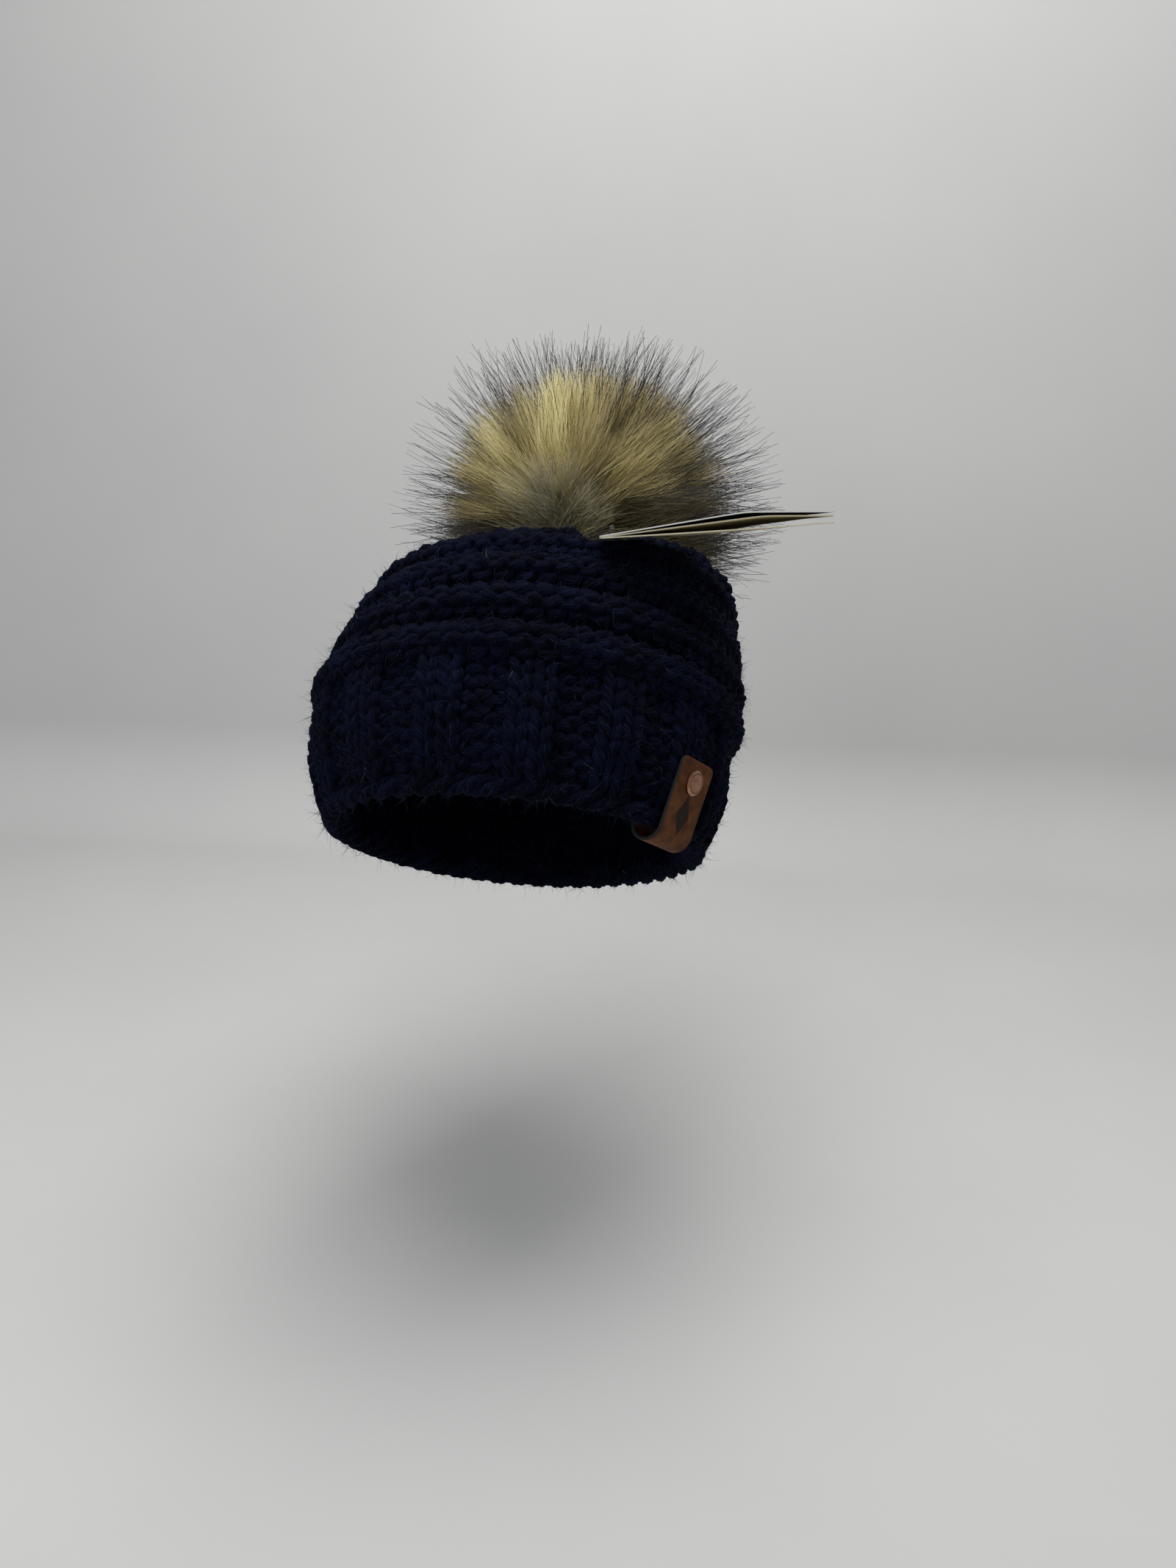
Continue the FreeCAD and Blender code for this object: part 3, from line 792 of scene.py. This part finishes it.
def tag_line(run):
    """Place on the strip's middle line and its outward direction, in (out, up), from the outer leg's top."""
    middle = TAG_FOLD_RADIUS + TAG_THICK / 2
    up = np.array([math.sin(TAG_SLOPE), math.cos(TAG_SLOPE)])
    out = np.array([math.cos(TAG_SLOPE), -math.sin(TAG_SLOPE)])
    bend = math.pi * middle
    if run < TAG_OUTER_LEG:
        return out * middle + up * (TAG_OUTER_LEG - run), out
    if run < TAG_OUTER_LEG + bend:
        turn = (run - TAG_OUTER_LEG) / middle
        normal = out * math.cos(turn) - up * math.sin(turn)
        return normal * middle, normal
    return -out * middle + up * (run - TAG_OUTER_LEG - bend), -out


def build_tag():
    """A folded strip with rounded corners and skived, darker edges, stamped with a plain lozenge."""
    length = TAG_OUTER_LEG + math.pi * (TAG_FOLD_RADIUS + TAG_THICK / 2) + TAG_INNER_LEG
    centre, out, along = tag_frame()
    ends = TAG_CORNER * (1 - np.cos(np.linspace(0, math.pi / 2, 7)))
    runs = np.concatenate([ends[:-1] + 0.02, np.linspace(TAG_CORNER, length - TAG_CORNER, 150),
                           length - ends[::-1][1:] - 0.02])
    across = np.linspace(-1, 1, 49)
    half = TAG_THICK / 2
    points = []
    for run in runs:
        near = min(run, length - run)
        round_off = math.sqrt(max(TAG_CORNER**2 - max(TAG_CORNER - near, 0) ** 2, 0))
        width = TAG_WIDTH / 2 - (TAG_CORNER - round_off)
        place, normal = tag_line(run)
        skive = min(1.0, 0.55 + near / 2.0)
        for side, line in ((1, across), (-1, across[::-1])):
            for a in line:
                lip = max(0.0, abs(a) * width - (width - 0.55)) / 0.55
                thick = half * skive * math.sqrt(max(1 - 0.75 * lip**2, 0.05))
                depth = stamp_depth(a * width, run) if side == 1 else 0.0
                spot = place + normal * (side * thick - depth)
                points.append(centre + out * spot[0] + np.array([0, 0, spot[1]]) + along * (a * width))
    ring = 2 * len(across)
    index = np.arange(len(runs) * ring).reshape(len(runs), ring)
    here, there = index[:-1], index[1:]
    quads = np.stack([here, np.roll(here, -1, 1), np.roll(there, -1, 1), there], -1).reshape(-1, 4)
    v = runs / length
    face = TAG_FACE_START + TAG_FACE_WIDTH * (across + 1) / 2
    u = np.concatenate([face, face + 0.52, [1 + TAG_FACE_START]])
    u0, u1 = np.broadcast_to(u[:-1], here.shape), np.broadcast_to(u[1:], here.shape)
    v0, v1 = np.broadcast_to(v[:-1, None], here.shape), np.broadcast_to(v[1:, None], here.shape)
    uv = np.stack([np.stack(c, -1) for c in ((u0, v0), (u1, v0), (u1, v1), (u0, v1))], 2).reshape(-1, 2)
    caps = []
    for row, flip in ((index[0], 1), (index[-1], -1)):
        n = len(across)
        top, low = row[:n], row[n:][::-1]
        caps.append(np.stack([top[:-1], low[:-1], low[1:], top[1:]], -1)[:, ::flip])
    cap_uv = np.tile([[0.5, 0.0], [0.5, 0.01], [0.51, 0.01], [0.51, 0.0]], (2 * (len(across) - 1), 1))
    faces = [quads, np.concatenate(caps)]
    tag = new_object("stamped_tag", leaned(np.array(points)), faces, np.concatenate([uv, cap_uv]))
    finish_piece(tag, leather_material(length), "hat", "leather", "leather_tag")


def stamp_shape(x, run):
    """Less than 1 inside the lozenge."""
    return abs(x) / MARK_HALF_WIDTH + abs(run - MARK_MIDDLE) / MARK_HALF_LENGTH


def stamp_depth(x, run):
    return 0.16 * min(1.0, max(0.0, (1.0 - stamp_shape(x, run)) * 8))


def leather_material(length):
    mat, tree, shader = material("brown_leather")
    parts = uv_parts(tree)
    place = object_place(tree)
    drift = noise(tree, place, 160.0, 5.0, 0.62)
    hide = ramp(tree, drift, [(0.34, (0.055, 0.018, 0.006)), (0.5, (0.088, 0.031, 0.010)),
                              (0.66, (0.13, 0.050, 0.017))])
    # distance across the outer face in mm, and down the strip in mm
    face_middle = TAG_FACE_START + TAG_FACE_WIDTH / 2
    x = math_node(tree, "ABSOLUTE", math_node(tree, "SUBTRACT", parts["X"], face_middle))
    x = math_node(tree, "MULTIPLY", x, TAG_WIDTH / TAG_FACE_WIDTH)
    y = math_node(tree, "MULTIPLY", parts["Y"], length)
    y = math_node(tree, "ABSOLUTE", math_node(tree, "SUBTRACT", y, MARK_MIDDLE))
    lozenge = math_node(tree, "ADD", math_node(tree, "DIVIDE", x, MARK_HALF_WIDTH),
                        math_node(tree, "DIVIDE", y, MARK_HALF_LENGTH))
    inside = ramp(tree, lozenge, [(0.92, (1, 1, 1)), (0.99, (0, 0, 0))])
    stamped = mixed(tree, inside, hide, (0.022, 0.013, 0.009))
    # both cut edges are dyed nearly black
    doubled = math_node(tree, "MULTIPLY", parts["X"], 2.0)
    folded = math_node(tree, "FRACT", math_node(tree, "ADD", doubled, 0.04))
    edge = math_node(tree, "ABSOLUTE", math_node(tree, "SUBTRACT", folded, 0.52))
    cut = ramp(tree, edge, [(0.415, (0, 0, 0)), (0.432, (1, 1, 1))])
    edged = mixed(tree, cut, stamped, (0.012, 0.013, 0.015))
    tree.links.new(edged, shader.inputs["Base Color"])
    pores = node(tree, "ShaderNodeTexVoronoi", {"Vector": place, "Scale": 1500.0}).outputs["Distance"]
    height = math_node(tree, "ADD", pores, math_node(tree, "MULTIPLY", drift, 1.5))
    bump(tree, shader, height, 0.35, 0.0002)
    set_inputs(shader, Roughness=0.6, Specular_IOR_Level=0.08)
    return mat


# ---------------------------------------------------------------------------
# Cards and their fastener

FASTENER_RISE = 4.4         # of its upper bar over the cards' held end
FASTENER_DEPTH = 20.5       # of its lower bar, inside the crown, under the cards' pin
FASTENER_BAR = 8.0
FASTENER_POINTS = 9         # along the filament and each bar
FILAMENT_RADIUS = 0.5
BAR_RADIUS = 0.8


def card_line(name, run):
    """Height of a card's middle line over its own flat plane, falling smoothly past the crease."""
    rise, crease, _, _ = CARDS[name]
    if crease is None:
        return 0.9 * (run / CARD_LENGTH) ** 2
    past = run - (crease - CARD_HOLE_INSET)
    soft = 0.5 * (past + np.sqrt(past**2 + 9.0))
    return -math.sin(math.radians(rise)) * soft


def card_piece(name, slot, mat):
    """A thin card that twists between its ends, with its edges as a uv strip of their own."""
    rise, _, stack, twist = CARDS[name]
    runs = np.concatenate([np.linspace(0, CARD_CORNER, 5),
                           np.linspace(CARD_CORNER, CARD_LENGTH - CARD_CORNER, 60)[1:-1],
                           CARD_LENGTH - np.linspace(CARD_CORNER, 0, 5)])
    near = np.minimum(runs, CARD_LENGTH - runs)
    round_off = np.sqrt(CARD_CORNER**2 - np.clip(CARD_CORNER - near, 0, None) ** 2)
    half = CARD_WIDTH / 2 - (CARD_CORNER - round_off)
    across = np.linspace(-1, 1, 15)
    run = (runs - CARD_HOLE_INSET)[:, None] + 0 * across
    side = half[:, None] * across
    part = np.clip(run / (CARD_LENGTH - CARD_HOLE_INSET), 0, 1)
    turn = CARD_TILT + math.radians(twist) * np.sin(math.pi * part) ** 1.3
    lift = card_line(name, run)
    shells = []
    for over in (CARD_THICK, 0.0):
        # turned about the near edge, so that only the far edge goes down
        y = -CARD_WIDTH / 2 * math.cos(CARD_TILT) + (side + CARD_WIDTH / 2) * np.cos(turn)
        z = CARD_WIDTH / 2 * math.sin(CARD_TILT) - (side + CARD_WIDTH / 2) * np.sin(turn) + lift + over
        shells.append(np.stack([run, y, z], -1))
    points = np.array(shells).reshape(-1, 3)
    c, s = math.cos(math.radians(rise)), math.sin(math.radians(rise))
    points = points @ np.array([[c, 0, -s], [0, 1, 0], [s, 0, c]]).T
    c, s = math.cos(CARD_HEADING), math.sin(CARD_HEADING)
    points = points @ np.array([[c, -s, 0], [s, c, 0], [0, 0, 1]]).T
    hold = CARD_HOLD + np.array([0, 0, stack])
    index = np.arange(len(points)).reshape(2, len(runs), len(across))
    faces, coords = [], []
    for layer, flip, left in ((index[0], 1, 0.02), (index[1], -1, 0.70)):
        quads = np.stack([layer[:-1, :-1], layer[1:, :-1], layer[1:, 1:], layer[:-1, 1:]], -1)
        quads = quads.reshape(-1, 4)[:, ::flip]
        places = np.stack(np.broadcast_arrays(left + 0.14 * (across + 1), (runs / CARD_LENGTH)[:, None]), -1)
        faces.append(quads)
        coords.append(places.reshape(-1, 2)[quads.ravel() - layer[0, 0]])
    rim = np.concatenate([index[:, :-1, 0], index[:, -1, :-1], index[:, :0:-1, -1], index[:, 0, :0:-1]], 1)
    low, high = rim[1], rim[0]
    faces.append(np.stack([low, np.roll(low, -1), np.roll(high, -1), high], -1))
    way = np.arange(len(low)) / len(low)
    ends = ((0.45, way), (0.45, way + 1 / len(low)), (0.55, way + 1 / len(low)), (0.55, way))
    coords.append(np.stack([np.stack(np.broadcast_arrays(*end), -1) for end in ends], 1).reshape(-1, 2))
    piece = new_object(f"{name}_sheet", (points + hold) * MM, [np.concatenate(faces)],
                       np.concatenate(coords), smooth=False)
    finish_piece(piece, mat, name, slot, name)


def card_material(name, face, edge, under, rough):
    """Thin card: one colour above, one on the cut edge and one under it, with paper fibre."""
    mat, tree, shader = material(name)
    place = object_place(tree)
    fibre = noise(tree, stretched(tree, place, (1.0, 2.5, 1.0)), 900.0, 4.0, 0.7)
    side = uv_parts(tree)["X"]
    plain = ramp(tree, side, [(0.36, face), (0.37, edge), (0.63, edge), (0.64, under)])
    shade = ramp(tree, fibre, [(0.3, (0.82, 0.82, 0.82)), (0.7, (1, 1, 1))])
    tree.links.new(mixed(tree, 1.0, plain, shade, "MULTIPLY"), shader.inputs["Base Color"])
    bump(tree, shader, fibre, 0.25, 0.00008)
    set_inputs(shader, Roughness=rough, Specular_IOR_Level=0.4)
    return mat


def build_fastener():
    """The nylon filament through the cards and the knit, with a bar across each end."""
    top = CARD_HOLD + np.array([0, 0, FASTENER_RISE])
    foot = CARD_PIN - np.array([0, 0, FASTENER_DEPTH])
    steps = np.linspace(0, 1, FASTENER_POINTS)[:, None]
    paths = np.stack([foot + steps * (top - foot),
                      top + (steps - 0.5) * np.array([0, FASTENER_BAR, 0]),
                      foot + (steps - 0.5) * np.array([FASTENER_BAR, 0, 0])])
    taper = np.concatenate([[0.55], np.ones(FASTENER_POINTS - 2), [0.55]])
    thick = np.array([[FILAMENT_RADIUS], [BAR_RADIUS], [BAR_RADIUS]]) * taper
    normals = np.stack([np.tile(n, (FASTENER_POINTS, 1)) for n in ([1.0, 0, 0], [0, 0, 1.0], [0, 0, 1.0])])
    points, quads, index = tubes(paths, thick, 12, normals, False)
    ends = np.concatenate([index[:, 0], index[:, -1, ::-1]])
    mat = plain_material("black_nylon", (0.010, 0.010, 0.011), (0.018, 0.018, 0.019),
                         400.0, 0.3, 0.00003, 0.5)
    piece = new_object("nylon_fastener", points * MM, [quads.reshape(-1, 4), ends])
    finish_piece(piece, mat, "hat", "fastener", "tag_fastener")


def build_cards():
    coated = card_material("coated_card", (0.60, 0.60, 0.57), (0.72, 0.72, 0.68), (0.006, 0.006, 0.006), 0.45)
    card_piece("card_top", "card_coated", coated)
    # the kraft card's underside is lighter than its face: painted light standing in for light bounced up from
    # below
    kraft = card_material("kraft_card", (0.30, 0.25, 0.15), (0.52, 0.47, 0.34), (0.60, 0.50, 0.29), 0.75)
    card_piece("card_middle", "card_kraft", kraft)
    cream = card_material("cream_card", (0.50, 0.45, 0.30), (0.62, 0.57, 0.42), (0.40, 0.35, 0.22), 0.7)
    card_piece("card_bottom", "card_cream", cream)


# ---------------------------------------------------------------------------
# Carried-over CAD parts

BEVEL_SHADE_RADII = (3.75, 4.0, 4.2, 4.45)         # start, dark band and end of the ring of painted bevel shade on the rivet's cap


def metal_material():
    """Rose copper plate, brushed and a little worn, with a darker ring painted on the cap as the shade of a
    bevel.
    """
    mat, tree, shader = material("rivet_copper")
    place = object_place(tree)
    scratch = noise(tree, stretched(tree, place, (1.0, 9.0, 3.0), (0.4, 0.2, 0.9)), 900.0, 4.0, 0.7)
    drift = noise(tree, place, 300.0, 3.0)
    low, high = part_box("rivet_cap")
    middle = tuple((a + b) / 2 for a, b in zip(low, high))
    off = node(tree, "ShaderNodeVectorMath", {0: place, 1: middle}, operation="DISTANCE").outputs["Value"]
    centimetres = math_node(tree, "MULTIPLY", off, 100.0)
    # a darker ring on the flat cap: painted shade of a bevel between the cap's rim and its flat middle
    stops = zip(BEVEL_SHADE_RADII, ((0, 0, 0), (1, 1, 1), (1, 1, 1), (0, 0, 0)))
    ring = ramp(tree, centimetres, [(radius / 10, colour) for radius, colour in stops])
    plate = ramp(tree, drift, [(0.3, (0.26, 0.12, 0.07)), (0.7, (0.46, 0.25, 0.16))])
    tree.links.new(mixed(tree, ring, plate, (0.10, 0.045, 0.026)), shader.inputs["Base Color"])
    rough = ramp(tree, scratch, [(0.3, (0.18,) * 3), (0.7, (0.36,) * 3)])
    tree.links.new(rough, shader.inputs["Roughness"])
    bump(tree, shader, scratch, 0.2, 0.00005)
    set_inputs(shader, Metallic=1.0)
    return mat


def dress_cad():
    """Materials for the CAD parts that are shown as they are."""
    thread = plain_material("dark_thread", (0.010, 0.011, 0.016), (0.03, 0.032, 0.042), 500.0, 0.8, 0.0002)
    metal = metal_material()
    looks = {
        "gather_yarn": plain_material("gather_yarn", (0.003, 0.0045, 0.014), (0.010, 0.014, 0.036),
                                      500.0, 0.9, 0.0004, 0.2),
        "anchor_button": plain_material("dark_button", (0.008, 0.009, 0.012), (0.02, 0.022, 0.028),
                                        260.0, 0.35, 0.00006, 0.5),
        "tie_cord": thread, "tie_knot": thread, "pom_thread": thread,
        "pom_backing": plain_material("backing_cloth", (0.22, 0.19, 0.14), (0.36, 0.32, 0.25),
                                      700.0, 0.9, 0.0003),
        "pom_stuffing": plain_material("white_fibrefill", (0.6, 0.6, 0.58), (0.82, 0.82, 0.8),
                                       120.0, 0.95, 0.001),
        "rivet_cap": metal, "rivet_base": metal, "rivet_post": metal,
    }
    for name, mat in looks.items():
        obj = frame["nodes"][name]
        obj.data.materials.clear()
        obj.data.materials.append(mat)


# ---------------------------------------------------------------------------
# Camera, light and floor

CAMERA_PLACE = Vector((0.104, -0.4902, 0.173))
CAMERA_HEADING = math.radians(8.2)
CAMERA_PITCH = math.radians(16.0)
FLOOR_Z = -0.20


def build_camera():
    data = bpy.data.cameras.new("camera")
    data.lens = 27.0
    data.sensor_width = 36.0
    camera = bpy.data.objects.new("camera", data)
    bpy.context.scene.collection.objects.link(camera)
    turn = Matrix.Rotation(CAMERA_HEADING, 4, "Z") @ Matrix.Rotation(math.pi / 2 - CAMERA_PITCH, 4, "X")
    camera.matrix_world = Matrix.Translation(CAMERA_PLACE) @ turn
    bpy.context.scene.camera = camera


def area_light(name, place, target, size, power, colour):
    data = bpy.data.lights.new(name, "AREA")
    data.shape = "RECTANGLE"
    data.size, data.size_y = size
    data.energy = power
    data.color = colour
    lamp = bpy.data.objects.new(name, data)
    bpy.context.scene.collection.objects.link(lamp)
    aim = (Vector(target) - Vector(place)).to_track_quat("-Z", "Y")
    lamp.matrix_world = Matrix.Translation(place) @ aim.to_matrix().to_4x4()


def build_stage():
    """A plain pale sweep of paper: floor, bend and back."""
    half = 1.7
    bend = 0.10
    back = 0.62
    profile = [(-1.3, 0.0), (back - bend, 0.0)]
    turns = np.linspace(0.15, math.pi / 2, 10)
    profile += [(back - bend + bend * math.sin(a), bend * (1 - math.cos(a))) for a in turns]
    profile += [(back, 1.7)]
    points = np.array([(x, y, z + FLOOR_Z) for y, z in profile for x in (-half, half)])
    faces = np.array([(2 * i, 2 * i + 1, 2 * i + 3, 2 * i + 2) for i in range(len(profile) - 1)])
    sweep = new_object("studio_sweep", points, [faces])
    mat = plain_material("studio_paper", (0.50, 0.50, 0.50), (0.53, 0.53, 0.525),
                         3.0, 0.85, 0.0001, fine=60.0)
    sweep.data.materials.append(mat)


def build_light():
    world = bpy.data.worlds.new("studio")
    world.use_nodes = True
    world.node_tree.nodes["Background"].inputs["Color"].default_value = (0.80, 0.81, 0.82, 1)
    world.node_tree.nodes["Background"].inputs["Strength"].default_value = 0.42
    bpy.context.scene.world = world
    area_light("top", (0.10, 0.0, 1.1), (0.02, 0.05, 0.05), (0.9, 0.7), 13.0, (1.0, 0.99, 0.97))
    area_light("front", (-0.50, -1.0, 0.60), (0, 0, 0.05), (0.8, 0.8), 5.0, (0.96, 0.98, 1.0))


build_camera()
build_stage()
build_light()
bpy.context.scene.view_settings.view_transform = "Standard"
build_knit()
build_fuzz()
build_pom()
build_tag()
build_fastener()
build_cards()
dress_cad()
